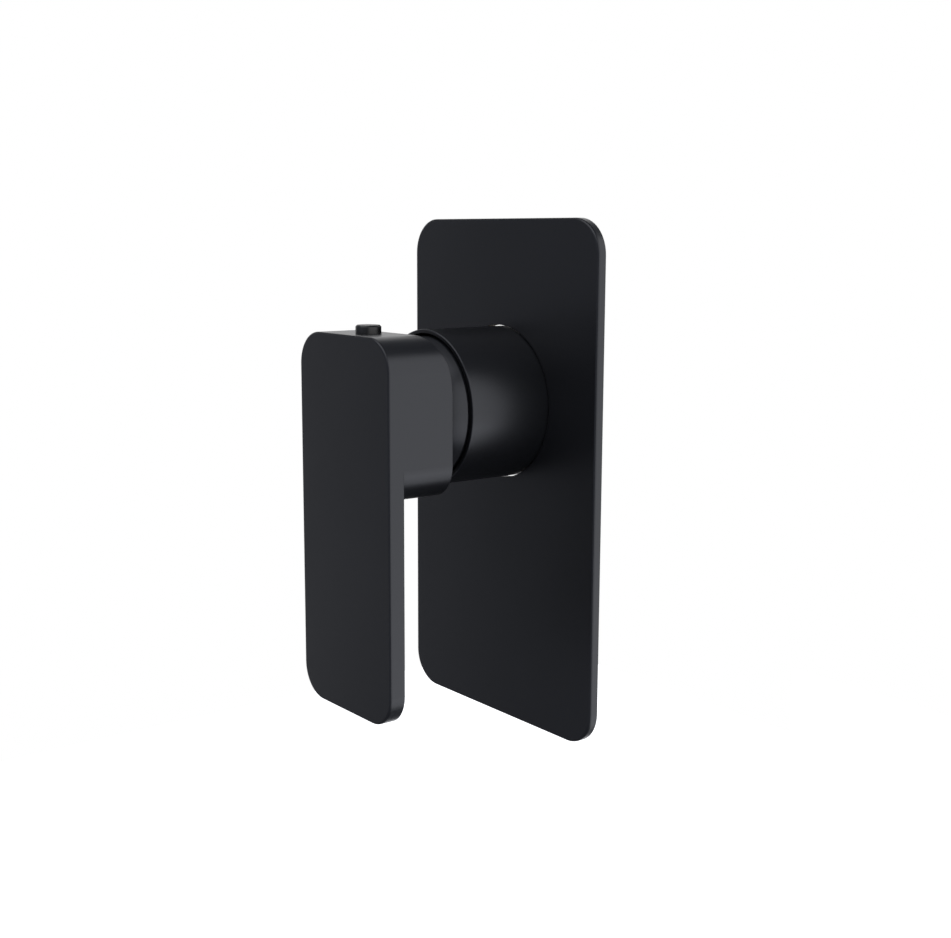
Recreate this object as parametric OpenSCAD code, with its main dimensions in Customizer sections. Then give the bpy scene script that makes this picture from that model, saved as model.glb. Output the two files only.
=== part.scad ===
// Wall-mounted single-lever shower mixer: brass valve body in the wall, ceramic cartridge,
// sleeve, rounded cover plate, dome ring and a square-necked lever handle.
// Millimetres. +Z is up, the front faces -Y and the wall starts at y = 0.
// "Out" distances are measured from the wall face towards the user, so y = -out.

/* [Cover plate] */
// Width of the cover plate
plate_w = 95; // [88:1:110]
// Height of the cover plate
plate_h = 168; // [158:1:190]
// Depth of the cover plate, wall face to front face
plate_t = 3; // [2.4:0.2:5]
// Radius of the plate's four corners
plate_corner_r = 11.5; // [8:0.5:20]
// Rounding of the plate's front edge
plate_edge_r = 0.8; // [0.4:0.1:1]
// How far the plate's centre lies below the sleeve's axis
plate_drop = 24; // [10:1:30]
// Thickness of the plate's front wall
plate_wall = 1.5; // [1:0.1:2]
// Thickness of the plate's turned-in rim and of the collar round the sleeve
rim_wall = 1.6; // [1.2:0.1:2.5]
// Radial gap between the sleeve and the hole in the plate
plate_gap = 0.4; // [0.2:0.05:0.8]
// Width of the foam gasket behind the plate
gasket_w = 6; // [4:0.5:8]

/* [Sleeve] */
// Outer radius of the sleeve
sleeve_r = 25; // [24.8:0.1:27]
// Wall thickness of the sleeve
sleeve_wall = 1.2; // [0.9:0.1:1.4]
// How far the sleeve's front rim stands out from the wall
sleeve_out = 33.3; // [31:0.1:33.8]
// How far the sleeve reaches into the wall
sleeve_tail = 8; // [5:0.5:9]
// Rounding of the sleeve's front edge
sleeve_edge_r = 0.4; // [0.2:0.1:0.5]

/* [Dome ring] */
// Gap between the sleeve's bore and the dome ring's skirt
dome_gap = 0.9; // [0.5:0.1:1.2]
// Wall thickness of the dome
dome_wall = 1.6; // [1:0.1:1.6]
// Radius of the opening that the spindle moves in
dome_opening_r = 15.5; // [15:0.1:17]
// How far the dome's straight skirt stands out from the wall
dome_skirt_out = 33.6; // [33:0.1:34.5]

/* [Handle] */
// Width of the lever plate and of the square neck behind it
handle_w = 50; // [46:1:54]
// Length of the lever plate, top to bottom
lever_len = 119.6; // [100:0.2:150]
// Thickness of the lever plate
lever_t = 5.3; // [5.2:0.1:8]
// How far the lever's front face stands out from the wall
handle_out = 64.4; // [64.4:0.1:70]
// Height of the lever's top above the sleeve's axis
handle_top = 24.6; // [24:0.1:26]
// Radius of the corners of the lever and of the neck
handle_corner_r = 10.5; // [6:0.5:12]
// Rounding of the lever's front edge
handle_edge_r = 0.7; // [0.3:0.1:1]
// Height of the square neck behind the lever
neck_h = 50; // [46:0.5:56]
// How far the neck's flat back stands out from the wall
neck_back_out = 41; // [41:0.1:43]
// Radius of the relief that clears the sleeve when the handle is lifted
relief_r = 30; // [24:1:40]
// Height above the axis at which the relief starts
relief_start = 6; // [2:0.5:8]
// Gap between the dome and the hollow in the handle
pocket_gap = 0.7; // [0.4:0.1:0.9]

/* [Screw and cap] */
// How far the set screw's axis stands out from the wall
screw_out = 54.8; // [54:0.1:55.5]
// Radius of the set screw
screw_r = 2.5; // [2:0.1:2.7]
// Length of the set screw
screw_len = 8; // [6:0.5:9]
// Radius of the cap over the screw hole
cap_r = 4; // [3.6:0.1:5]
// Height of the cap above the handle
cap_h = 2.6; // [1:0.1:4]
// Radius of the cap's shank
cap_shank_r = 3; // [2.9:0.1:3.4]
// Length of the cap's shank
cap_shank_len = 6; // [4:0.5:8]

/* [Cartridge] */
// How far the spindle's pivot pin stands out from the wall
pivot_out = 24; // [24:0.1:24.4]
// Distance from the pivot pin to the spindle's ball end
ball_arm = 11; // [10.8:0.1:11.2]
// Radius of the spindle's ball end
ball_r = 3.2; // [2.8:0.1:3.3]
// Side of the square stem that the handle fits over
stem_side = 8; // [7:0.1:8.2]
// Radius of the cartridge housing
housing_r = 17.4; // [17.2:0.1:17.5]
// Wall thickness of the housing
housing_wall = 1.6; // [1.4:0.1:1.7]
// Radius of the turret that turns in the housing's neck
turret_r = 12.2; // [12:0.1:12.4]
// Running clearance of the turret and of the pivot pin
running_gap = 0.05; // [0.03:0.01:0.08]
// Radius of the pivot pin
pin_r = 1.5; // [1.2:0.1:1.8]
// Thickness of the fixed ceramic disc
fixed_disc_t = 3.2; // [3:0.1:3.4]
// Thickness of the moving ceramic disc
moving_disc_t = 4; // [3.6:0.1:4]
// Radius of the moving ceramic disc and its carrier
moving_disc_r = 12; // [11.8:0.1:12.2]
// Radius of the hot and cold ports
inlet_port_r = 2.9; // [2.4:0.1:3]
// Radius of the mixed-water port
outlet_port_r = 3.8; // [3.2:0.1:4]
// Largest lift angle of the handle, in degrees
lift_max = 25; // [18:1:25]
// Largest swing of the handle to each side, in degrees
swing_max = 45; // [35:1:50]

/* [Valve body] */
// Radius of the valve body's neck inside the sleeve
body_neck_r = 22.6; // [22.4:0.1:22.8]
// How far the valve body's neck stands out from the wall
body_neck_out = 12; // [12:0.1:12.4]
// Radius of the valve body's barrel
barrel_r = 26; // [25:0.5:30]
// Depth of the barrel's front face inside the wall
barrel_front = 12; // [10:0.5:14]
// Depth of the barrel's back face inside the wall
barrel_back = 46; // [44:0.5:56]
// Depth of the four ports' axes inside the wall
port_depth = 30; // [29:0.5:31]
// Distance from the sleeve's axis to the end of each port
port_reach = 42; // [40:0.5:60]
// Tap-drill radius of the half-inch pipe thread in each port
port_bore_r = 9.3; // [9.2:0.1:9.6]
// Depth of the pipe thread in each port
port_thread = 13; // [10:0.5:14]
// Outer radius of the port bosses
boss_r = 13.5; // [13:0.1:15]
// Radius of the water passages behind the threads
passage_r = 5.5; // [5:0.1:5.8]
// Distance between the two fixing holes
lug_pitch = 58; // [54:1:70]
// Radius of the fixing holes
lug_hole_r = 2.75; // [2.2:0.05:3.5]
// Thickness of the fixing lugs
lug_t = 6; // [4:0.5:8]
// Radius of the O-rings' section
o_ring_r = 1; // [0.8:0.05:1.1]

/* [Hidden] */

$fn = 96;
eps = 0.01;                  // overlap that lets cutters pass right through
cut = 1;                     // how far a cutter starts outside the piece it cuts

black = "#262629";
satin_steel = "#b9bcc0";
brass = "#c9a557";
rubber = "#1d1d1f";
foam = "#3a3a3c";
acetal = "#e6e4dc";
grey_plastic = "#8d9095";
ceramic = "#f4f2ea";
red_plastic = "#b8322a";

// Sleeve, dome and the hollow in the handle, all centred on the pivot
sleeve_bore_r = sleeve_r - sleeve_wall;
dome_skirt_r = sleeve_bore_r - dome_gap;
dome_r = norm([dome_skirt_r, dome_skirt_out - pivot_out]);
dome_inner_r = dome_r - dome_wall;
pocket_r = dome_r + pocket_gap;

// Handle
lever_back_out = handle_out - lever_t;
lever_foot = handle_top - lever_len;
neck_foot = handle_top - neck_h;
relief_axis_out = neck_back_out + relief_r;
stem_fit = 0.15;             // gap on each side of the square stem
stem_wall = 5.4;             // metal left in front of the stem's socket
stem_hole_out = handle_out - stem_wall;
stem_end_out = stem_hole_out - 1;
screw_low = stem_side / 2 + 0.05;
screw_thread_gap = 0.02;     // radial gap between the set screw and its thread
socket_af = 2.5;             // across flats of the set screw's hexagon socket
cap_fit = 0.05;              // radial gap round the cap's shank
cap_edge = 0.5;              // chamfer on the cap's head
shank_play = 0.5;            // room under the end of the cap's shank

// Ports and locating pegs, as seen from the front
inlet_at = [7, -5.5];        // x and z of the cold port; the hot port mirrors it
outlet_at = [0, 8.5];
inlet_seal_ring = 4.5;       // centre-line radius of the seal round each inlet port
outlet_seal_ring = 5.4;
locating_at = [12.6, 4];     // x and z of the base's locating peg
locating_r = 1.8;
locating_len = 2.5;

// Cartridge stack, from the seat in the valve body outwards
seat_out = -6;               // where the cartridge base rests in the valve body
base_t = 5;
base_top = seat_out + base_t;
seal_r = 0.9;                // section radius of the seals under the base
upper_seal_r = 0.75;         // section radius of the seals over the base
seal_fit = 0.03;             // clearance of the seals in their grooves
seal_lift = 0.2;             // how far the seals hold the fixed disc off the base
film = 0.05;                 // water film between the two ceramic discs
fixed_low = base_top + seal_lift;
moving_low = fixed_low + fixed_disc_t + film;
carrier_low = moving_low + moving_disc_t;
ball_out = pivot_out - ball_arm;
carrier_top = ball_out + 2;
flange_low = carrier_top + 0.4;
flange_top = 18.7;
float_gap = 0.1;             // end float of the turret under the housing's shoulder
housing_bore_r = housing_r - housing_wall;
disc_fit = 0.2;              // radial gap of discs and flange in the housing's bore
shoulder_in = flange_top + float_gap;
shoulder_out = shoulder_in + 1.6;
collar_r = turret_r + 2.6;
collar_top = 28;
turret_top = 31;
slot_w = 7.4;                // slot in the turret that the spindle tilts in
slot_half = 8.2;
spindle_w = 7;               // spindle's thickness along the pivot pin, inside the slot
spindle_d = 7.4;             // spindle's depth across the pivot pin
spindle_rod_r = 2.4;
spindle_shank = 4;           // how far the flat waist reaches behind the pivot pin
stem_low = pivot_out + 12;   // where the spindle becomes the square stem
pin_half = 10.5;
leg_gap = 0.3;               // gap between the turret's legs and the carrier
carrier_half_w = 9.5;
leg_t = 2.6;
leg_half_h = 6;
leg_low = carrier_low + 1.5;
disc_rest = 2.3;             // how far above the axis the moving disc sits when shut
socket_gap = 0.2;            // gap round the ball in the carrier's socket
chamber_depth = 2.2;         // the chamber in the moving disc's face, which joins the ports
chamber_foot = inlet_at[1] + inlet_port_r + 1.1;
chamber_head = disc_rest + moving_disc_r - 5.6;
chamber_half_w = inlet_at[0] + inlet_port_r - 0.6;
chamber_slot_h = 4.6;
peg_r = 1.2;
peg_len = 1.2;
peg_fit = 0.1;
peg_x = 8;

// Temperature stop
stop_ring_t = 1.8;
stop_ring_low = collar_top + 0.4;
stop_wall = 1.1;
stop_fit = 0.03;
stop_gap = 0.2;              // gap between the ring and the lugs, and between the tab and the rim
stop_overlap = 0.2;
stop_tab_half = 8;           // half angle of the moving tab
stop_lug = 12;               // angle that each fixed lug spans
stop_play = 3;               // play between the tab and a lug at full swing
tab_r = collar_r - 0.1;      // outer radius of the tab and of the lugs

// Nut
nut_bore_r = housing_r + 0.3;
nut_wall = 1.8;
nut_thread_r = nut_bore_r + nut_wall;
nut_ring_r = nut_thread_r + 0.9;
nut_flange_r = nut_thread_r + 1.9;
nut_flange_t = 2;
collar_gap = 0.3;            // gap between the nut and the housing's collar
nut_hex_r = nut_thread_r + 0.1;  // across corners of the hexagon, halved
nut_hex_h = 5;
skirt_play = 0.5;            // room between the nut's flange and the dome ring
nut_thread_len = 8;
thread_gap = 0.1;
thread_runout = 0.5;
nut_ring_out = body_neck_out + nut_flange_t;
nut_web_low = shoulder_out;

// Valve body
chamber_r = housing_r + 0.3;
o_ring_gap = 0.03;
o_ring_at = [0.5, 7.5];      // out positions of the two O-rings on the neck
o_ring_line_r = sleeve_bore_r - o_ring_r - o_ring_gap;
groove_w = 2.4 * o_ring_r;
groove_floor_r = o_ring_line_r - o_ring_r;
hex_r = boss_r + 3;          // across corners of the hexagon on each port, halved
hex_len = 10;
lug_r = 7.5;
web_step = 1.5;              // how much narrower the web is on each side
lug_drop = 29;
plug_head_r = 12.4;
plug_head_t = 4;
plug_len = 10;
plug_socket_r = 5.8;
plug_socket_depth = 7;
plug_seal_ring = 10.9;
plug_seal_r = 0.9;
lower_passage_r = 2.6;
inlet_passage_start = 6;     // distance from the axis at which the side passages start
outlet_passage_start = 8;
port_overlap = 1.3;          // how far the ports from the seat pass the axis of the side passages

// Solid cylinder along the mixer's axis, between two out distances
module bar(r, from, to) {
    translate([0, -to, 0]) rotate([-90, 0, 0]) cylinder(r = r, h = to - from);
}

// The same with a bore right through
module pipe(r, bore, from, to) {
    difference() {
        bar(r, from, to);
        bar(bore, from - cut, to + cut);
    }
}

// Ring of round section about the mixer's axis
module o_ring(line_r, section_r, out) {
    translate([0, -out, 0]) rotate([-90, 0, 0])
        rotate_extrude() translate([line_r, 0]) circle(r = section_r, $fn = 32);
}

// Cylinder along Y at a given x and z
module bar_at(at, r, from, to) {
    translate([at[0], 0, at[1]]) bar(r, from, to);
}

// Half section of a slab's edge: the corner radius r deep, t thick, front edge rounded by e
module edge_section(r, t, e) {
    square([r - e, t]);
    square([r, t - e]);
    translate([r - e, t - e]) circle(r = e, $fn = 32);
}

// Slab with rounded corners and a rounded front edge, standing upright on its back face
module slab(w, low, high, corner, back, front, e) {
    t = front - back;
    h = high - low;
    straight_w = w - 2 * corner;
    straight_h = h - 2 * corner;
    translate([0, -back, (low + high) / 2]) rotate([90, 0, 0]) {
        translate([-straight_w / 2, -straight_h / 2, 0]) cube([straight_w, straight_h, t]);
        for (side = [0 : 3]) {
            long = side % 2 == 0 ? straight_h : straight_w;
            reach = side % 2 == 0 ? straight_w / 2 : straight_h / 2;
            rotate(90 * side) {
                translate([reach, long / 2, 0]) rotate([90, 0, 0])
                    linear_extrude(height = long) edge_section(corner, t, e);
                translate([reach, long / 2, 0]) rotate_extrude(angle = 90)
                    edge_section(corner, t, e);
            }
        }
    }
}

// The same outline with square edges, as a cutter or a plain prism
module prism(w, low, high, corner, back, front) {
    translate([0, -back, 0]) rotate([90, 0, 0]) linear_extrude(height = front - back) {
        translate([-w / 2 + corner, low]) square([w - 2 * corner, high - low]);
        translate([-w / 2, low + corner]) square([w, high - low - 2 * corner]);
        for (x = [-w / 2 + corner, w / 2 - corner], z = [low + corner, high - corner])
            translate([x, z]) circle(r = corner);
    }
}

// Pressed cover plate: front wall, turned-in rim, and a collar round the sleeve's hole
module cover_plate() {
    low = -plate_drop - plate_h / 2;
    high = -plate_drop + plate_h / 2;
    hole_r = sleeve_r + plate_gap;
    color(black) difference() {
        union() {
            difference() {
                slab(plate_w, low, high, plate_corner_r, 0, plate_t, plate_edge_r);
                prism(plate_w - 2 * rim_wall, low + rim_wall, high - rim_wall,
                      plate_corner_r - rim_wall, -cut, plate_t - plate_wall);
            }
            bar(hole_r + rim_wall, 0, plate_t - plate_wall + eps);
        }
        bar(hole_r, -cut, plate_t + cut);
    }
}

// Foam gasket that lies inside the rim and seals the plate to the wall
module plate_gasket() {
    low = -plate_drop - plate_h / 2 + rim_wall;
    high = -plate_drop + plate_h / 2 - rim_wall;
    w = plate_w - 2 * rim_wall;
    corner = plate_corner_r - rim_wall;
    inner_corner = max(corner - gasket_w, 2);
    color(foam) difference() {
        prism(w, low, high, corner, 0, plate_t - plate_wall);
        prism(w - 2 * gasket_w, low + gasket_w, high - gasket_w, inner_corner,
              -cut, plate_t - plate_wall + cut);
    }
}

// Turned sleeve that slides over the valve body's neck
module sleeve() {
    color(black) difference() {
        union() {
            bar(sleeve_r, -sleeve_tail, sleeve_out - sleeve_edge_r);
            bar(sleeve_r - sleeve_edge_r, 0, sleeve_out);
            o_ring(sleeve_r - sleeve_edge_r, sleeve_edge_r, sleeve_out - sleeve_edge_r);
        }
        bar(sleeve_bore_r, -sleeve_tail - cut, sleeve_out + cut);
    }
}

module sleeve_o_rings() {
    color(rubber) for (out = o_ring_at) o_ring(o_ring_line_r, o_ring_r, out);
}

// Dome ring, turned from a profile: straight skirt inside the sleeve, then a shell that is part of
// a sphere about the pivot, with a thread inside the skirt and an opening for the spindle
module dome_ring() {
    skirt_low = nut_ring_out + skirt_play;
    thread_top = nut_web_low;
    top = pivot_out + dome_r + cut;
    color(black) rotate([90, 0, 0]) rotate_extrude() difference() {
        intersection() {
            union() {
                translate([0, pivot_out]) circle(r = dome_r);
                translate([0, skirt_low]) square([dome_skirt_r, dome_skirt_out - skirt_low - cut]);
            }
            translate([0, skirt_low]) square([dome_skirt_r, top - skirt_low]);
        }
        square([nut_ring_r + thread_gap, thread_top]);
        intersection() {
            translate([0, pivot_out]) circle(r = dome_inner_r);
            translate([0, thread_top - eps]) square([dome_skirt_r - dome_wall, top - thread_top]);
        }
        translate([0, dome_skirt_out]) square([dome_opening_r, top - dome_skirt_out]);
    }
}

// Nut that clamps the cartridge, with an outer thread for the dome ring and a hexagon
module cartridge_nut() {
    color(brass) difference() {
        union() {
            bar(nut_thread_r, body_neck_out - nut_thread_len, body_neck_out);
            bar(nut_flange_r, body_neck_out, nut_ring_out);
            bar(nut_ring_r, nut_ring_out, nut_web_low);
            translate([0, -nut_web_low - nut_hex_h, 0]) rotate([-90, 0, 0])
                cylinder(r = nut_hex_r, h = nut_hex_h, $fn = 6);
        }
        bar(nut_bore_r, body_neck_out - nut_thread_len - cut, nut_web_low);
        bar(collar_r + collar_gap, nut_web_low - cut, nut_web_low + nut_hex_h + cut);
    }
}

// The three water ports, as cutters; the radii differ from piece to piece
module port_holes(inlet_r, outlet_r, from, to) {
    for (side = [-1, 1]) bar_at([side * inlet_at[0], inlet_at[1]], inlet_r, from, to);
    bar_at(outlet_at, outlet_r, from, to);
}

// One seal round each port
module port_seals(section_r, out) {
    for (side = [-1, 1]) translate([side * inlet_at[0], 0, inlet_at[1]])
        o_ring(inlet_seal_ring, section_r, out);
    translate([outlet_at[0], 0, outlet_at[1]]) o_ring(outlet_seal_ring, section_r, out);
}

// Grooves that the seals sit in
module seal_grooves(section_r, from, to) {
    difference() {
        port_holes(inlet_seal_ring + section_r + seal_fit, outlet_seal_ring + section_r + seal_fit,
                   from, to);
        port_holes(inlet_seal_ring - section_r - seal_fit, outlet_seal_ring - section_r - seal_fit,
                   from - cut, to + cut);
    }
}

// Moulded base with seal grooves on both faces and two locating pegs
module cartridge_base() {
    color(acetal) {
        difference() {
            bar(housing_r, seat_out, base_top);
            port_holes(inlet_port_r, outlet_port_r, seat_out - cut, base_top + cut);
            seal_grooves(seal_r, seat_out - cut, seat_out + 2 * seal_r);
            seal_grooves(upper_seal_r, base_top + seal_lift - 2 * upper_seal_r, base_top + cut);
        }
        for (side = [-1, 1])
            bar_at([side * locating_at[0], locating_at[1]], locating_r, seat_out - locating_len,
                   seat_out + eps);
    }
}

module base_seals() {
    color(rubber) port_seals(seal_r, seat_out + seal_r);
}

module disc_seals() {
    color(rubber) port_seals(upper_seal_r, base_top + seal_lift - upper_seal_r);
}

// Fixed ceramic disc with the three ports
module fixed_disc() {
    color(ceramic) difference() {
        bar(housing_bore_r - disc_fit, fixed_low, fixed_low + fixed_disc_t);
        port_holes(inlet_port_r, outlet_port_r, fixed_low - cut, fixed_low + fixed_disc_t + cut);
    }
}

// Moving ceramic disc: a chamber in its face joins the ports when the handle is lifted
module moving_disc() {
    color(ceramic) difference() {
        bar_at([0, disc_rest], moving_disc_r, moving_low, moving_low + moving_disc_t);
        bar_at([0, chamber_head], outlet_port_r, moving_low - cut, moving_low + chamber_depth);
        translate([-chamber_half_w, -moving_low - chamber_depth, chamber_foot])
            cube([2 * chamber_half_w, chamber_depth + cut, chamber_slot_h]);
        translate([-outlet_port_r, -moving_low - chamber_depth, chamber_foot])
            cube([2 * outlet_port_r, chamber_depth + cut, chamber_head - chamber_foot]);
        for (side = [-1, 1])
            bar_at([side * peg_x, disc_rest], peg_r + peg_fit, carrier_low - peg_len - peg_fit,
                   carrier_low + cut);
    }
}

// Plastic carrier that the spindle's ball end pushes up and down
module disc_carrier() {
    color(grey_plastic) difference() {
        union() {
            intersection() {
                bar_at([0, disc_rest], moving_disc_r, carrier_low, carrier_top);
                translate([-carrier_half_w, -carrier_top - cut, disc_rest - moving_disc_r - cut])
                    cube([2 * carrier_half_w, carrier_top - carrier_low + 2 * cut,
                          2 * moving_disc_r + 2 * cut]);
            }
            for (side = [-1, 1])
                bar_at([side * peg_x, disc_rest], peg_r, carrier_low - peg_len, carrier_low + eps);
        }
        bar(ball_r + socket_gap, ball_out - ball_r - socket_gap, carrier_top + cut);
    }
}

// Housing: the discs turn in its bore and the turret in its neck; two lugs stop the swing
module cartridge_housing() {
    lug_from = swing_max + stop_tab_half + stop_play;
    color(grey_plastic) {
        difference() {
            union() {
                bar(housing_r, base_top, shoulder_out);
                bar(collar_r, shoulder_out - eps, collar_top);
            }
            bar(housing_bore_r, base_top - cut, shoulder_in);
            bar(turret_r + running_gap, shoulder_in - cut, collar_top + cut);
        }
        for (side = [-1, 1])
            arc_lug(turret_r + stop_wall + stop_gap, tab_r, side * (lug_from + stop_lug / 2),
                    stop_lug, collar_top - eps, stop_ring_low + stop_ring_t);
    }
}

// Piece of a ring, centred on an angle that is counted from the top
module arc_lug(r_in, r_out, at, span, from, to) {
    translate([0, -from, 0]) rotate([90, 0, 0]) rotate(90 - at - span / 2)
        rotate_extrude(angle = span) translate([r_in, 0]) square([r_out - r_in, to - from]);
}

// Turret: turns in the housing, carries the pivot pin and guides the disc carrier with two legs
module turret() {
    flange_r = housing_bore_r - disc_fit;
    color(acetal) difference() {
        union() {
            bar(flange_r, flange_low, flange_top);
            bar(turret_r, flange_top - eps, turret_top);
            intersection() {
                bar(flange_r, leg_low, flange_low + eps);
                for (side = [-1, 1])
                    translate([side * (carrier_half_w + leg_gap + leg_t / 2), -flange_low - eps,
                               -leg_half_h])
                        translate([-leg_t / 2, 0, 0])
                            cube([leg_t, flange_low - leg_low + eps, 2 * leg_half_h]);
            }
        }
        translate([-slot_w / 2, -turret_top - cut, -slot_half])
            cube([slot_w, turret_top - flange_low + 2 * cut, 2 * slot_half]);
        translate([-turret_r - cut, -pivot_out, 0]) rotate([0, 90, 0])
            cylinder(r = pin_r, h = 2 * turret_r + 2 * cut, $fn = 48);
    }
}

// Toothed ring that turns with the turret and meets the housing's lugs at full swing
module temperature_stop() {
    color(red_plastic) {
        pipe(turret_r + stop_wall, turret_r + stop_fit, stop_ring_low, stop_ring_low + stop_ring_t);
        arc_lug(turret_r + stop_wall - stop_overlap, tab_r, 0, 2 * stop_tab_half, stop_ring_low,
                stop_ring_low + stop_ring_t);
    }
}

module pivot_pin() {
    color(satin_steel) translate([-pin_half, -pivot_out, 0]) rotate([0, 90, 0])
        cylinder(r = pin_r, h = 2 * pin_half, $fn = 48);
}

// Spindle: ball end, flat waist with the pin's bore, and the square stem
module spindle() {
    waist_low = pivot_out - spindle_shank;
    color(satin_steel) difference() {
        union() {
            translate([0, -ball_out, 0]) sphere(r = ball_r, $fn = 48);
            bar(spindle_rod_r, ball_out, waist_low + eps);
            translate([-spindle_w / 2, -stem_low - eps, -spindle_d / 2])
                cube([spindle_w, stem_low - waist_low + eps, spindle_d]);
            translate([-stem_side / 2, -stem_end_out, -stem_side / 2])
                cube([stem_side, stem_end_out - stem_low, stem_side]);
        }
        translate([-spindle_w, -pivot_out, 0]) rotate([0, 90, 0])
            cylinder(r = pin_r + running_gap, h = 2 * spindle_w, $fn = 48);
    }
}

// Cast handle: the lever plate and, behind its top, the square neck with its relief, cut from one
// slab by the side view, with a hollow for the dome, a socket for the stem and the screw's bore
module handle() {
    shank_floor = handle_top - cap_shank_len - shank_play;
    color(black) difference() {
        intersection() {
            slab(handle_w, lever_foot, handle_top, handle_corner_r, neck_back_out, handle_out,
                 handle_edge_r);
            handle_side();
        }
        for (side = [-1, 1]) neck_corner_cut(side);
        translate([0, -pivot_out, 0]) sphere(r = pocket_r);
        translate([-stem_side / 2 - stem_fit, -stem_hole_out, -stem_side / 2 - stem_fit])
            cube([stem_side + 2 * stem_fit, stem_hole_out - neck_back_out, stem_side + 2 * stem_fit]);
        translate([0, -screw_out, 0]) cylinder(r = screw_r + screw_thread_gap, h = handle_top + cut);
        translate([0, -screw_out, shank_floor])
            cylinder(r = cap_shank_r + cap_fit, h = handle_top - shank_floor + cut);
    }
}

// Side view of the handle: lever plate, neck with a straight back below, and the round relief above
module handle_side() {
    wide = handle_w + 2 * cut;
    front = -handle_out - cut;
    translate([-wide / 2, 0, 0]) rotate([90, 0, 90]) linear_extrude(height = wide) {
        translate([front, lever_foot - cut]) square([lever_t + cut, lever_len + 2 * cut]);
        translate([front, neck_foot]) square([-neck_back_out - front, relief_start - neck_foot]);
        intersection() {
            translate([-relief_axis_out, relief_start]) circle(r = relief_r, $fn = 180);
            translate([front, relief_start - cut]) square([-front, relief_r]);
        }
    }
}

// What rounds one of the neck's two lower corners off, as a cutter
module neck_corner_cut(side) {
    inner = handle_w / 2 - handle_corner_r;
    difference() {
        translate([side > 0 ? inner : -handle_w / 2 - cut, -lever_back_out, neck_foot - cut])
            cube([handle_corner_r + cut, lever_back_out - neck_back_out + cut, handle_corner_r + cut]);
        translate([side * inner, -lever_back_out - cut, neck_foot + handle_corner_r])
            rotate([-90, 0, 0]) cylinder(r = handle_corner_r, h = lever_back_out);
    }
}

// Set screw with a hexagon socket
module grub_screw() {
    color(satin_steel) translate([0, -screw_out, screw_low]) difference() {
        cylinder(r = screw_r, h = screw_len, $fn = 48);
        translate([0, 0, screw_len - socket_af])
            cylinder(r = socket_af / sqrt(3), h = socket_af + cut, $fn = 6);
    }
}

// Push-in cap over the screw hole
module screw_cap() {
    color(black) translate([0, -screw_out, handle_top]) {
        translate([0, 0, -cap_shank_len]) cylinder(r = cap_shank_r, h = cap_shank_len + eps, $fn = 48);
        cylinder(r = cap_r, h = cap_h - cap_edge, $fn = 64);
        translate([0, 0, cap_h - cap_edge])
            cylinder(r1 = cap_r, r2 = cap_r - cap_edge, h = cap_edge, $fn = 64);
    }
}

// Port boss along +X with its hexagon, turned to the side that it serves
module port_boss(turn) {
    rotate([0, turn, 0]) translate([0, port_depth, 0]) rotate([0, 90, 0]) {
        cylinder(r = boss_r, h = port_reach);
        translate([0, 0, port_reach - hex_len]) cylinder(r = hex_r, h = hex_len, $fn = 6);
    }
}

// Thread bore and passage of one port, as a cutter
module port_cut(turn, passage, passage_start) {
    rotate([0, turn, 0]) translate([0, port_depth, 0]) rotate([0, 90, 0]) {
        translate([0, 0, port_reach - port_thread]) cylinder(r = port_bore_r, h = port_thread + cut);
        translate([0, 0, passage_start]) cylinder(r = passage, h = port_reach - passage_start);
    }
}

// Lug that takes one fixing screw, joined to the barrel by a web a little narrower than itself
module fixing_lug(side) {
    at = [side * lug_pitch / 2, -lug_drop];
    along = at / norm(at);
    across = [-along[1], along[0]] * (lug_r - web_step);
    translate([0, barrel_back, 0]) rotate([90, 0, 0]) linear_extrude(height = lug_t) {
        translate(at) circle(r = lug_r);
        polygon([across, -across, at - across, at + across]);
    }
}

// Cast brass valve body: barrel, four ports, neck with O-ring grooves, seat and waterways
module valve_body() {
    color(brass) difference() {
        union() {
            bar(barrel_r, -barrel_back, -barrel_front);
            bar(body_neck_r, -barrel_front - eps, body_neck_out);
            for (turn = [0, 90, 180, 270]) port_boss(turn);
            for (side = [-1, 1]) fixing_lug(side);
        }
        bar(chamber_r, seat_out, body_neck_out + cut);
        bar(nut_thread_r + thread_gap, body_neck_out - nut_thread_len - thread_runout,
            body_neck_out + cut);
        for (out = o_ring_at)
            pipe(body_neck_r + cut, groove_floor_r, out - groove_w / 2, out + groove_w / 2);
        port_holes(inlet_port_r, outlet_port_r, -port_depth - port_overlap, seat_out + cut);
        for (side = [-1, 1])
            bar_at([side * locating_at[0], locating_at[1]], locating_r + peg_fit,
                   seat_out - locating_len - peg_fit, seat_out + cut);
        port_cut(0, passage_r, inlet_passage_start);
        port_cut(180, passage_r, inlet_passage_start);
        port_cut(270, passage_r, outlet_passage_start);
        port_cut(90, lower_passage_r, -outlet_at[1]);
        for (side = [-1, 1])
            bar_at([side * lug_pitch / 2, -lug_drop], lug_hole_r, -barrel_back - cut,
                   -barrel_back + lug_t + cut);
    }
}

// Plug that closes the lower port, with a hexagon socket
module outlet_plug() {
    face = -port_reach;
    color(brass) translate([0, port_depth, 0]) difference() {
        union() {
            translate([0, 0, face - plug_head_t]) cylinder(r = plug_head_r, h = plug_head_t);
            translate([0, 0, face - eps]) cylinder(r = port_bore_r - thread_gap, h = plug_len);
        }
        translate([0, 0, face - plug_head_t - cut])
            cylinder(r = plug_socket_r, h = plug_socket_depth + cut, $fn = 6);
        translate([0, 0, face - 2 * plug_seal_r]) difference() {
            cylinder(r = plug_seal_ring + plug_seal_r, h = 2 * plug_seal_r + cut);
            translate([0, 0, -cut])
                cylinder(r = plug_seal_ring - plug_seal_r, h = 2 * plug_seal_r + 3 * cut);
        }
    }
}

module plug_o_ring() {
    color(rubber) translate([0, port_depth, -port_reach - plug_seal_r])
        rotate_extrude() translate([plug_seal_ring, 0]) circle(r = plug_seal_r, $fn = 32);
}

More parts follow.
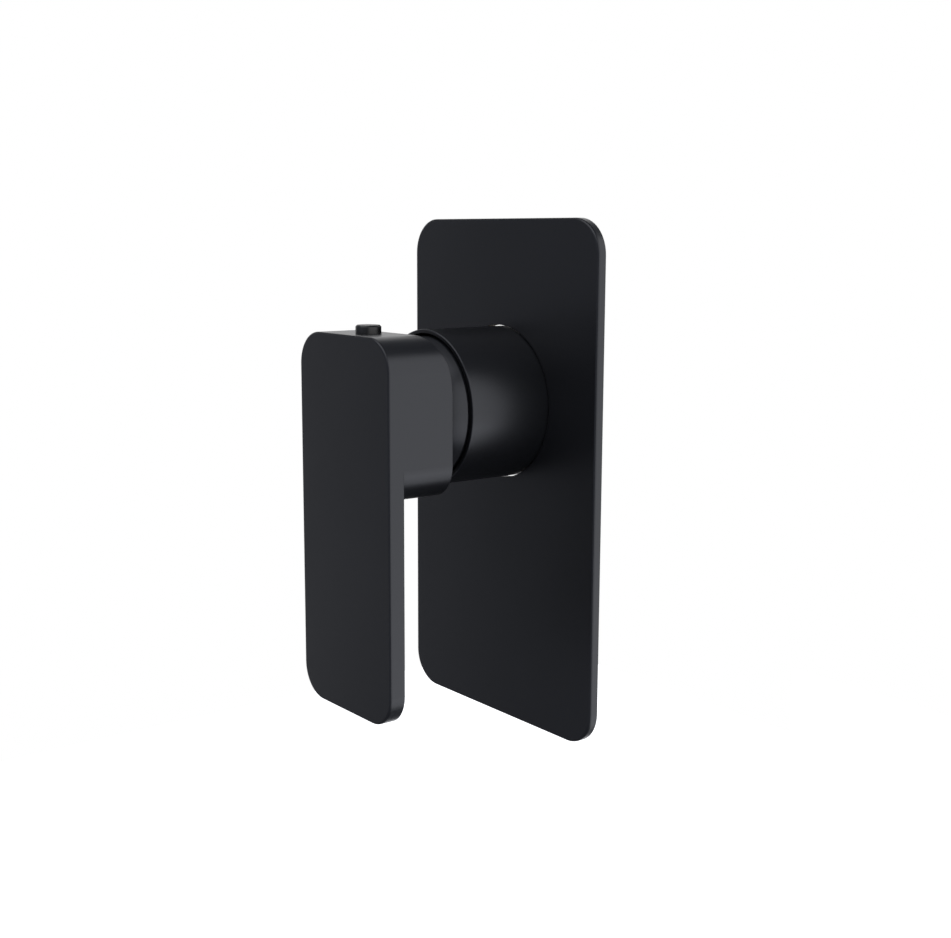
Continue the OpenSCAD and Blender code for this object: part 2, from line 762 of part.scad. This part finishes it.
valve_body();
outlet_plug();
plug_o_ring();
sleeve_o_rings();
cover_plate();
plate_gasket();
sleeve();
dome_ring();
cartridge_nut();
cartridge_base();
base_seals();
disc_seals();
fixed_disc();
moving_disc();
disc_carrier();
cartridge_housing();
turret();
temperature_stop();
pivot_pin();
spindle();
handle();
grub_screw();
screw_cap();
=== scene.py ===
# Wall-mounted single-lever shower mixer in matte black. The sections follow the way it is put
# together: valve body in the wall, cartridge, nut, sleeve and plate, dome ring, then the handle.
import math

import bmesh
import bpy
from mathutils import Matrix, Vector


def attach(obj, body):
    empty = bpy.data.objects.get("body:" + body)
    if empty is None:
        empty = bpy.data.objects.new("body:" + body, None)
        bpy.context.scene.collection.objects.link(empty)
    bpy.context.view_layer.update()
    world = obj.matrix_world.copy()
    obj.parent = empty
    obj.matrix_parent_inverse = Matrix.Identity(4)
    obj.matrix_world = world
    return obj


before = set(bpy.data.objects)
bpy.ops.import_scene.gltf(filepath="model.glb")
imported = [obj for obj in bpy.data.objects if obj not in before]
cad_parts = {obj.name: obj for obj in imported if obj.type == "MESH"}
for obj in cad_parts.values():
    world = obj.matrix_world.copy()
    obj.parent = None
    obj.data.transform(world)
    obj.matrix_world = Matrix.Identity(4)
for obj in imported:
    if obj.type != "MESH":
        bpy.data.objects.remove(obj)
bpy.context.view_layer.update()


# The photograph is taken from the right and a little from above, with a long lens.
# Azimuth, elevation, roll, aim and distance come from a fit to the edges of plate and lever.
view_azimuth = math.radians(52.174)
view_elevation = math.radians(9.540)
view_roll = math.radians(0.237)
view_aim = Vector((-0.016486, 0.0, -0.025522))
view_distance = 0.48235
towards_camera = Vector((
    math.sin(view_azimuth) * math.cos(view_elevation),
    -math.cos(view_azimuth) * math.cos(view_elevation),
    math.sin(view_elevation),
))
photo_lens = bpy.data.cameras.new("photo_lens")
photo_lens.lens = 52.574
photo_lens.sensor_width = 36.0
photo_lens.sensor_fit = "HORIZONTAL"
photo_lens.clip_start = 0.01
photo_lens.clip_end = 20.0
photo_camera = bpy.data.objects.new("photo_camera", photo_lens)
bpy.context.scene.collection.objects.link(photo_camera)
upright = (-towards_camera).to_track_quat("-Z", "Y").to_matrix()
photo_camera.rotation_mode = "QUATERNION"
photo_camera.rotation_quaternion = (upright @ Matrix.Rotation(view_roll, 3, "Z")).to_quaternion()
photo_camera.location = view_aim + towards_camera * view_distance
bpy.context.scene.camera = photo_camera


# Valve body: one sand casting in brass, set into the wall, with a hexagon on each of four ports.
# The cast skin is dull and finely pitted; the neck, the seat, the bores and the port ends are
# turned bright and show the rings that the tool leaves.
def linear(code):
    parts = [int(code[i:i + 2], 16) / 255 for i in (1, 3, 5)]
    return [p / 12.92 if p <= 0.04045 else ((p + 0.055) / 1.055) ** 2.4 for p in parts] + [1.0]


def add_node(tree, kind, inputs=None, **settings):
    node = tree.nodes.new(kind)
    for name, value in settings.items():
        setattr(node, name, value)
    for name, value in (inputs or {}).items():
        if isinstance(value, bpy.types.NodeSocket):
            tree.links.new(value, node.inputs[name])
        else:
            node.inputs[name].default_value = value
    return node


def new_finish(name):
    finish = bpy.data.materials.new(name)
    finish.use_nodes = True
    finish.node_tree.nodes.clear()
    place = add_node(finish.node_tree, "ShaderNodeTexCoord").outputs["Object"]
    return finish, finish.node_tree, place


def put_finish(finish, *names):
    for name in names:
        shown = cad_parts[name]
        shown.data.materials.clear()
        shown.data.materials.append(finish)


# cast brass: casting sand leaves grains near 0.3 mm, drawn at 0.6 mm so that they show
sand_cast_brass, tree, place = new_finish("sand_cast_brass")
sand = add_node(tree, "ShaderNodeTexNoise", {
    "Vector": place, "Scale": 1000 / 0.6, "Detail": 3.0, "Roughness": 0.65})
# oxide clouds some 12 mm across, browner where the melt cooled slowly
clouds = add_node(tree, "ShaderNodeTexNoise", {"Vector": place, "Scale": 1000 / 12, "Detail": 3.0})
cast_tone = add_node(tree, "ShaderNodeMix", {
    0: clouds.outputs["Fac"], 6: linear("#96793f"), 7: linear("#c0a163")}, data_type="RGBA")
cast_dull = add_node(tree, "ShaderNodeMapRange", {
    "Value": sand.outputs["Fac"], "To Min": 0.42, "To Max": 0.62})
# the pattern's corners leave the sand with a radius of about a millimetre
cast_corners = add_node(tree, "ShaderNodeBevel", {"Radius": 0.0011}, samples=8)
cast_pits = add_node(tree, "ShaderNodeBump", {
    "Height": sand.outputs["Fac"], "Distance": 0.0002, "Strength": 0.55,
    "Normal": cast_corners.outputs[0]})
skin = add_node(tree, "ShaderNodeBsdfPrincipled", {
    "Base Color": cast_tone.outputs[2], "Metallic": 1.0, "Roughness": cast_dull.outputs[0],
    "Normal": cast_pits.outputs[0]})
add_node(tree, "ShaderNodeOutputMaterial", {"Surface": skin.outputs[0]})

# turned brass: tool rings 0.12 mm apart, drawn at 0.5 mm so that they show (a wave at scale 1
# repeats every 2 pi / 20 units)
turned_brass, tree, place = new_finish("turned_brass")
rings = add_node(tree, "ShaderNodeTexWave", {
    "Vector": place, "Scale": 2 * math.pi / 20 * 1000 / 0.5, "Distortion": 0.6, "Detail": 1.0,
    "Detail Scale": 0.5}, wave_type="RINGS", rings_direction="Y")
smear = add_node(tree, "ShaderNodeTexNoise", {"Vector": place, "Scale": 1000 / 5, "Detail": 2.0})
turned_tone = add_node(tree, "ShaderNodeMix", {
    0: smear.outputs["Fac"], 6: linear("#c2a058"), 7: linear("#dcbf7c")}, data_type="RGBA")
turned_dull = add_node(tree, "ShaderNodeMapRange", {
    "Value": smear.outputs["Fac"], "To Min": 0.2, "To Max": 0.34})
tool_marks = add_node(tree, "ShaderNodeBump", {
    "Height": rings.outputs["Fac"], "Distance": 0.00005, "Strength": 0.35})
bright = add_node(tree, "ShaderNodeBsdfPrincipled", {
    "Base Color": turned_tone.outputs[2], "Metallic": 1.0, "Roughness": turned_dull.outputs[0],
    "Normal": tool_marks.outputs[0]})
add_node(tree, "ShaderNodeOutputMaterial", {"Surface": bright.outputs[0]})

port_depth = 0.030
port_reach = 0.042
port_bore = 0.0093
neck_start = 0.012
valve_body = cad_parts["valve_body"]
put_finish(sand_cast_brass, "valve_body")
valve_body.data.materials.append(turned_brass)
for face in valve_body.data.polygons:
    x, y, z = face.center
    in_side_bore = math.hypot(y - port_depth, z) < port_bore + 0.0002 and abs(x) > 0.020
    in_tall_bore = math.hypot(y - port_depth, x) < port_bore + 0.0002 and abs(z) > 0.020
    on_port_end = max(abs(x), abs(z)) > port_reach - 0.0001
    in_neck = y < neck_start - 0.0001 or math.hypot(x, z) < 0.0178
    face.material_index = 1 if in_side_bore or in_tall_bore or on_port_end or in_neck else 0


# Pipe threads: the half-inch thread cut in the hot, cold and outlet ports, 1.814 mm from crest
# to crest. The bore is at the tap-drill size, so the crests stand in from it.
def port_thread(name, outwards):
    pitch = 0.001814
    crest = 0.00045
    steps = 48
    turns = 6.4
    across = Vector((0, 1, 0))
    other = outwards.cross(across)
    mouth = Vector((0, port_depth, 0)) + outwards * (port_reach - 0.0006)
    mesh = bmesh.new()
    rows = []
    for i in range(int(steps * turns) + 1):
        turn = i / steps
        fade = min(1, turn * 2, (turns - turn) * 2)
        angle = 2 * math.pi * turn
        spoke = across * math.cos(angle) + other * math.sin(angle)
        row = []
        for along, height in ((0, 0), (0.38, fade), (0.62, fade), (1, 0)):
            reach = port_bore + 0.00001 - crest * height
            back = pitch * (turn + along)
            row.append(mesh.verts.new(mouth + spoke * reach - outwards * back))
        rows.append(row)
    for row, following in zip(rows, rows[1:]):
        for k in range(3):
            mesh.faces.new((row[k], row[k + 1], following[k + 1], following[k]))
    bmesh.ops.recalc_face_normals(mesh, faces=mesh.faces)
    shape = bpy.data.meshes.new(name)
    mesh.to_mesh(shape)
    mesh.free()
    thread = bpy.data.objects.new(name, shape)
    bpy.context.scene.collection.objects.link(thread)
    shape.materials.append(turned_brass)
    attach(thread, "mixer_body")


port_thread("hot_port_thread", Vector((-1, 0, 0)))
port_thread("cold_port_thread", Vector((1, 0, 0)))
port_thread("outlet_port_thread", Vector((0, 0, 1)))


# Outlet plug: turned from brass bar and screwed into the lower port with a hexagon key.
# It is as bright as the port ends.
put_finish(turned_brass, "outlet_plug")

# O-rings on the neck and under the plug, and the seals of the cartridge: moulded EPDM rubber,
# near black, with a faint grey bloom and a dull skin that takes no sharp reflection.
moulded_epdm, tree, place = new_finish("moulded_epdm")
bloom = add_node(tree, "ShaderNodeTexNoise", {"Vector": place, "Scale": 1000 / 2.5, "Detail": 4.0})
epdm_tone = add_node(tree, "ShaderNodeMix", {
    0: bloom.outputs["Fac"], 6: linear("#161617"), 7: linear("#2a2a2b")}, data_type="RGBA")
epdm_dull = add_node(tree, "ShaderNodeMapRange", {
    "Value": bloom.outputs["Fac"], "To Min": 0.5, "To Max": 0.7})
epdm_skin = add_node(tree, "ShaderNodeBump", {
    "Height": bloom.outputs["Fac"], "Distance": 0.00005, "Strength": 0.4})
rubber = add_node(tree, "ShaderNodeBsdfPrincipled", {
    "Base Color": epdm_tone.outputs[2], "Roughness": epdm_dull.outputs[0], "IOR": 1.52,
    "Normal": epdm_skin.outputs[0]})
add_node(tree, "ShaderNodeOutputMaterial", {"Surface": rubber.outputs[0]})
put_finish(moulded_epdm, "plug_o_ring", "sleeve_o_rings", "base_seals", "disc_seals")


# Cartridge base and turret: moulded in natural acetal, an off-white plastic with a slight waxy
# shine. They carry the water ports, and the pin that the spindle tilts on.
natural_acetal, tree, place = new_finish("natural_acetal")
# flow marks of the moulding, some 6 mm long
flow = add_node(tree, "ShaderNodeTexNoise", {
    "Vector": place, "Scale": 1000 / 6, "Detail": 2.0, "Distortion": 0.8})
acetal_tone = add_node(tree, "ShaderNodeMix", {
    0: flow.outputs["Fac"], 6: linear("#dcd8cb"), 7: linear("#eeebe1")}, data_type="RGBA")
acetal_skin = add_node(tree, "ShaderNodeBump", {
    "Height": flow.outputs["Fac"], "Distance": 0.0001, "Strength": 0.15})
acetal = add_node(tree, "ShaderNodeBsdfPrincipled", {
    "Base Color": acetal_tone.outputs[2], "Roughness": 0.36, "IOR": 1.48,
    "Subsurface Weight": 0.08, "Subsurface Scale": 0.001, "Normal": acetal_skin.outputs[0]})
add_node(tree, "ShaderNodeOutputMaterial", {"Surface": acetal.outputs[0]})
put_finish(natural_acetal, "cartridge_base", "turret")


# Ceramic discs: pressed and fired alumina, ivory white, lapped so flat that they seal on a film
# of water. The lapped faces shine; the rims keep a fine fired grain.
lapped_alumina, tree, place = new_finish("lapped_alumina")
# fired grain near 0.05 mm, drawn at 0.4 mm so that it shows
grain = add_node(tree, "ShaderNodeTexNoise", {"Vector": place, "Scale": 1000 / 0.4, "Detail": 2.0})
alumina_tone = add_node(tree, "ShaderNodeMix", {
    0: grain.outputs["Fac"], 6: linear("#e6e0d0"), 7: linear("#f3eee0")}, data_type="RGBA")
alumina_dull = add_node(tree, "ShaderNodeMapRange", {
    "Value": grain.outputs["Fac"], "To Min": 0.12, "To Max": 0.28})
alumina = add_node(tree, "ShaderNodeBsdfPrincipled", {
    "Base Color": alumina_tone.outputs[2], "Roughness": alumina_dull.outputs[0], "IOR": 1.76})
add_node(tree, "ShaderNodeOutputMaterial", {"Surface": alumina.outputs[0]})
put_finish(lapped_alumina, "fixed_disc", "moving_disc")


# Cartridge housing and disc carrier: moulded in glass-filled nylon, mid grey, with short fibres
# that break up the skin into fine light streaks.
glass_filled_nylon, tree, place = new_finish("glass_filled_nylon")
# fibres are 0.3 mm long; the streaks are drawn at 0.8 mm so that they show
stretched = add_node(tree, "ShaderNodeMapping", {"Vector": place, "Scale": (1.0, 0.3, 1.0)})
fibres = add_node(tree, "ShaderNodeTexNoise", {
    "Vector": stretched.outputs[0], "Scale": 1000 / 0.8, "Detail": 2.0, "Roughness": 0.7})
nylon_tone = add_node(tree, "ShaderNodeMix", {
    0: fibres.outputs["Fac"], 6: linear("#85888d"), 7: linear("#9ea1a5")}, data_type="RGBA")
nylon_skin = add_node(tree, "ShaderNodeBump", {
    "Height": fibres.outputs["Fac"], "Distance": 0.00008, "Strength": 0.3})
nylon = add_node(tree, "ShaderNodeBsdfPrincipled", {
    "Base Color": nylon_tone.outputs[2], "Roughness": 0.48, "IOR": 1.53,
    "Normal": nylon_skin.outputs[0]})
add_node(tree, "ShaderNodeOutputMaterial", {"Surface": nylon.outputs[0]})
put_finish(glass_filled_nylon, "cartridge_housing", "disc_carrier")


# Temperature stop: a loose ring moulded in red acetal, so that a fitter finds it at once.
# It is pressed onto the turret.
red_acetal, tree, place = new_finish("red_acetal")
# weld lines where the melt met, a few mm apart
welds = add_node(tree, "ShaderNodeTexNoise", {"Vector": place, "Scale": 1000 / 3, "Detail": 2.0})
red_tone = add_node(tree, "ShaderNodeMix", {
    0: welds.outputs["Fac"], 6: linear("#a32a22"), 7: linear("#c23a30")}, data_type="RGBA")
red = add_node(tree, "ShaderNodeBsdfPrincipled", {
    "Base Color": red_tone.outputs[2], "Roughness": 0.38, "IOR": 1.48})
add_node(tree, "ShaderNodeOutputMaterial", {"Surface": red.outputs[0]})
put_finish(red_acetal, "temperature_stop")


# Spindle, pivot pin and set screw: stainless steel, ground and milled, with fine scratches along
# the stem. The handle sits on the spindle's square end.
ground_steel, tree, place = new_finish("ground_steel")
# grinding scratches are finer than 0.1 mm, drawn at 0.3 mm across and 4 mm long
along_stem = add_node(tree, "ShaderNodeMapping", {"Vector": place, "Scale": (1.0, 0.08, 1.0)})
scratches = add_node(tree, "ShaderNodeTexNoise", {
    "Vector": along_stem.outputs[0], "Scale": 1000 / 0.3, "Detail": 2.0})
steel_tone = add_node(tree, "ShaderNodeMix", {
    0: scratches.outputs["Fac"], 6: linear("#a9acaf"), 7: linear("#c7c9cb")}, data_type="RGBA")
steel_dull = add_node(tree, "ShaderNodeMapRange", {
    "Value": scratches.outputs["Fac"], "To Min": 0.24, "To Max": 0.4})
steel = add_node(tree, "ShaderNodeBsdfPrincipled", {
    "Base Color": steel_tone.outputs[2], "Metallic": 1.0, "Roughness": steel_dull.outputs[0]})
add_node(tree, "ShaderNodeOutputMaterial", {"Surface": steel.outputs[0]})
put_finish(ground_steel, "spindle", "pivot_pin", "grub_screw")


# Cartridge nut: turned from brass bar, left bright inside the sleeve, with a hexagon for the
# fitter's key and a thread that the dome ring screws onto.
put_finish(turned_brass, "cartridge_nut")


# Plate gasket: closed-cell foam, dark grey, cut to lie inside the plate's rim against the wall.
# The cut cells make it look velvety and quite dull.
closed_cell_foam, tree, place = new_finish("closed_cell_foam")
# cells are 0.3 mm across, drawn at 0.6 mm so that they show
cells = add_node(tree, "ShaderNodeTexVoronoi", {"Vector": place, "Scale": 1000 / 0.6})
foam_tone = add_node(tree, "ShaderNodeMix", {
    0: cells.outputs["Distance"], 6: linear("#2b2b2d"), 7: linear("#454548")}, data_type="RGBA")
foam_skin = add_node(tree, "ShaderNodeBump", {
    "Height": cells.outputs["Distance"], "Distance": 0.0002, "Strength": 0.8})
foam = add_node(tree, "ShaderNodeBsdfPrincipled", {
    "Base Color": foam_tone.outputs[2], "Roughness": 0.92, "IOR": 1.45,
    "Normal": foam_skin.outputs[0]})
add_node(tree, "ShaderNodeOutputMaterial", {"Surface": foam.outputs[0]})
put_finish(closed_cell_foam, "plate_gasket")


# Cover plate, sleeve, dome ring and handle: brass and zinc under one matte black electroplated
# coat. It is a slightly blue black, smooth, with a soft satin shine and no clear reflection.
matte_black_plate, tree, place = new_finish("matte_black_plate")
# the coat's own texture is near 0.1 mm, drawn at 0.45 mm so that it just breaks up the shine
peel = add_node(tree, "ShaderNodeTexNoise", {
    "Vector": place, "Scale": 1000 / 0.45, "Detail": 2.0, "Roughness": 0.5})
# the coat's thickness drifts over some 40 mm, which shifts the shine very slightly
drift = add_node(tree, "ShaderNodeTexNoise", {"Vector": place, "Scale": 1000 / 40, "Detail": 2.0})
black_tone = add_node(tree, "ShaderNodeMix", {
    0: drift.outputs["Fac"], 6: linear("#0f1012"), 7: linear("#121316")}, data_type="RGBA")
black_dull = add_node(tree, "ShaderNodeMapRange", {
    "Value": drift.outputs["Fac"], "To Min": 0.31, "To Max": 0.35})
# edges are eased by 0.25 mm before plating, and catch a thin line of light
eased = add_node(tree, "ShaderNodeBevel", {"Radius": 0.00025}, samples=8)
black_skin = add_node(tree, "ShaderNodeBump", {
    "Height": peel.outputs["Fac"], "Distance": 0.00002, "Strength": 0.25,
    "Normal": eased.outputs[0]})
black = add_node(tree, "ShaderNodeBsdfPrincipled", {
    "Base Color": black_tone.outputs[2], "Roughness": black_dull.outputs[0], "IOR": 1.5,
    "Specular Tint": linear("#f2f5ff"), "Normal": black_skin.outputs[0]})
add_node(tree, "ShaderNodeOutputMaterial", {"Surface": black.outputs[0]})
put_finish(matte_black_plate, "cover_plate", "sleeve", "dome_ring", "handle")


# Screw cap: a push-in plug of black ABS over the set screw, moulded, a little glossier than the
# plated metal around it.
moulded_black_abs, tree, place = new_finish("moulded_black_abs")
# a fine spark-eroded texture near 0.1 mm, drawn at 0.3 mm
erosion = add_node(tree, "ShaderNodeTexNoise", {"Vector": place, "Scale": 1000 / 0.3})
cap_dull = add_node(tree, "ShaderNodeMapRange", {
    "Value": erosion.outputs["Fac"], "To Min": 0.3, "To Max": 0.42})
cap = add_node(tree, "ShaderNodeBsdfPrincipled", {
    "Base Color": linear("#0f1012"), "Roughness": cap_dull.outputs[0], "IOR": 1.54})
add_node(tree, "ShaderNodeOutputMaterial", {"Surface": cap.outputs[0]})
put_finish(moulded_black_abs, "screw_cap")


# Wall: a plain white card where the finished wall stands, with a hole for the sleeve. Only the
# camera sees it, from the front: it hides the valve body as the wall does, and throws no light.
# It is no wider than that takes, so that a view from the side shows the body.
wall_hole = 0.02502
card_low = Vector((-0.125, 0.0003, -0.08))
card_high = Vector((0.125, 0.0003, 0.08))
card = bmesh.new()
corners = []
for angle in (45, 135, 225, 315):
    turned = math.radians(angle)
    x = card_high.x if math.cos(turned) > 0 else card_low.x
    z = card_high.z if math.sin(turned) > 0 else card_low.z
    corners.append(card.verts.new((x, card_low.y, z)))
hole = []
for i in range(128):
    angle = 2 * math.pi * (i + 0.5) / 128
    hole.append(card.verts.new((wall_hole * math.cos(angle), card_low.y, wall_hole * math.sin(angle))))
for k in range(4):
    first = int(128 * (k + 0.5) / 4)
    quarter = [hole[(first + i) % 128] for i in range(33)]
    card.faces.new([corners[(k + 1) % 4], corners[k]] + quarter)
bmesh.ops.recalc_face_normals(card, faces=card.faces)
for face in card.faces:
    if face.normal.y > 0:
        face.normal_flip()
card_mesh = bpy.data.meshes.new("wall_card")
card.to_mesh(card_mesh)
card.free()
wall_card = bpy.data.objects.new("wall_card", card_mesh)
bpy.context.scene.collection.objects.link(wall_card)
wall_card.visible_diffuse = False
wall_card.visible_glossy = False
wall_card.visible_shadow = False
wall_white, tree, place = new_finish("wall_white")
side = add_node(tree, "ShaderNodeNewGeometry")
clear = add_node(tree, "ShaderNodeBsdfTransparent")
plain_white = add_node(tree, "ShaderNodeEmission", {"Color": linear("#ffffff"), "Strength": 1.0})
one_sided = add_node(tree, "ShaderNodeMixShader", {
    0: side.outputs["Backfacing"], 1: plain_white.outputs[0], 2: clear.outputs[0]})
add_node(tree, "ShaderNodeOutputMaterial", {"Surface": one_sided.outputs[0]})
card_mesh.materials.append(wall_white)


# Floor: a plain pale surface well below the mixer. It keeps what little shadow falls so far down,
# and its own colour is brought up to white for the camera and for reflections.
floor_mesh = bpy.data.meshes.new("pale_floor")
floor_mesh.from_pydata(
    [(-4, -4, -1.65), (4, -4, -1.65), (4, 4, -1.65), (-4, 4, -1.65)], [], [(0, 1, 2, 3)])
pale_floor = bpy.data.objects.new("pale_floor", floor_mesh)
bpy.context.scene.collection.objects.link(pale_floor)
painted_floor, tree, place = new_finish("painted_floor")



def background_seen(tree):
    path = add_node(tree, "ShaderNodeLightPath")
    mirrored = add_node(tree, "ShaderNodeMath", {
        0: path.outputs["Is Camera Ray"], 1: path.outputs["Is Glossy Ray"]}, operation="MAXIMUM")
    return add_node(tree, "ShaderNodeMath", {
        0: mirrored.outputs[0], 1: path.outputs["Is Transmission Ray"]}, operation="MAXIMUM")


paint = add_node(tree, "ShaderNodeBsdfPrincipled", {
    "Base Color": linear("#e8e8e8"), "Roughness": 0.8, "Emission Color": linear("#ffffff"),
    "Emission Strength": background_seen(tree).outputs[0]})
add_node(tree, "ShaderNodeOutputMaterial", {"Surface": paint.outputs[0]})
floor_mesh.materials.append(painted_floor)


# Studio: white surroundings, which the camera and every reflection see, and three soft panels.
# The wide panel at the right gives the side faces their even grey and the sleeve its highlight;
# the left one gives the fronts their slight shine. A dark screen stands round the front.
studio = bpy.data.worlds.new("studio")
bpy.context.scene.world = studio
studio.use_nodes = True
tree = studio.node_tree
tree.nodes.clear()
white = add_node(tree, "ShaderNodeBackground", {"Color": linear("#ffffff"), "Strength": 1.0})
soft = add_node(tree, "ShaderNodeBackground", {"Color": linear("#f4f6ff"), "Strength": 0.7})
surroundings = add_node(tree, "ShaderNodeMixShader", {
    0: background_seen(tree).outputs[0], 1: soft.outputs[0], 2: white.outputs[0]})
add_node(tree, "ShaderNodeOutputWorld", {"Surface": surroundings.outputs[0]})


def soft_panel(name, round_from_front, up, distance, width, height, glow):
    angle = math.radians(round_from_front)
    rise = math.radians(up)
    outwards = Vector((
        math.sin(angle) * math.cos(rise), -math.cos(angle) * math.cos(rise), math.sin(rise)))
    lamp = bpy.data.lights.new(name, "AREA")
    lamp.shape = "RECTANGLE"
    lamp.size = width
    lamp.size_y = height
    lamp.energy = glow * math.pi * width * height
    panel = bpy.data.objects.new(name, lamp)
    bpy.context.scene.collection.objects.link(panel)
    panel.location = Vector((0, -0.03, -0.02)) + outwards * distance
    panel.rotation_mode = "QUATERNION"
    panel.rotation_quaternion = (-outwards).to_track_quat("-Z", "Y")
    panel.visible_camera = False


soft_panel("right_panel", 108, 8, 1.2, 2.8, 2.0, 0.52)
soft_panel("left_panel", -88, -3, 1.2, 1.0, 1.2, 0.54)
soft_panel("top_panel", 0, 60, 1.2, 1.6, 0.9, 1.5)

# The dark screen is black cloth hung overhead, laid underneath, and drawn round the photographer
# from the left to the front right. Only reflections see it: black fronts stay black, and rounded
# edges dark.
screen_reach = 1.6
screen_rows = range(-88, 97, 8)
screen_columns = range(-112, 249, 8)
screen_points = []
for up in screen_rows:
    for around in screen_columns:
        angle = math.radians(around)
        rise = math.radians(min(up, 90))
        screen_points.append((
            screen_reach * math.sin(angle) * math.cos(rise),
            -screen_reach * math.cos(angle) * math.cos(rise),
            screen_reach * math.sin(rise)))
screen_faces = []
for k, up in enumerate(screen_rows[:-1]):
    for i, around in enumerate(screen_columns[:-1]):
        if up >= 40 or up < -48 or around < 56:
            first = k * len(screen_columns) + i
            above = first + len(screen_columns)
            screen_faces.append((first, first + 1, above + 1, above))
screen_mesh = bpy.data.meshes.new("dark_screen")
screen_mesh.from_pydata(screen_points, [], screen_faces)
dark_screen = bpy.data.objects.new("dark_screen", screen_mesh)
bpy.context.scene.collection.objects.link(dark_screen)
dark_screen.visible_camera = False
dark_screen.visible_diffuse = False
dark_screen.visible_transmission = False
dark_screen.visible_shadow = False
black_cloth, tree, place = new_finish("black_cloth")
# the part straight ahead of the mixer catches more light, so that fronts seen squarely aren't lost
cloth_place = add_node(tree, "ShaderNodeSeparateXYZ", {"Vector": place})
ahead = add_node(tree, "ShaderNodeMapRange", {
    "Value": cloth_place.outputs["Y"], "From Min": -1.03, "From Max": -1.6,
    "To Min": 0.16, "To Max": 0.50})
cloth = add_node(tree, "ShaderNodeEmission", {
    "Color": linear("#eef2ff"), "Strength": ahead.outputs[0]})
add_node(tree, "ShaderNodeOutputMaterial", {"Surface": cloth.outputs[0]})
screen_mesh.materials.append(black_cloth)


bpy.context.scene.view_settings.view_transform = "Standard"
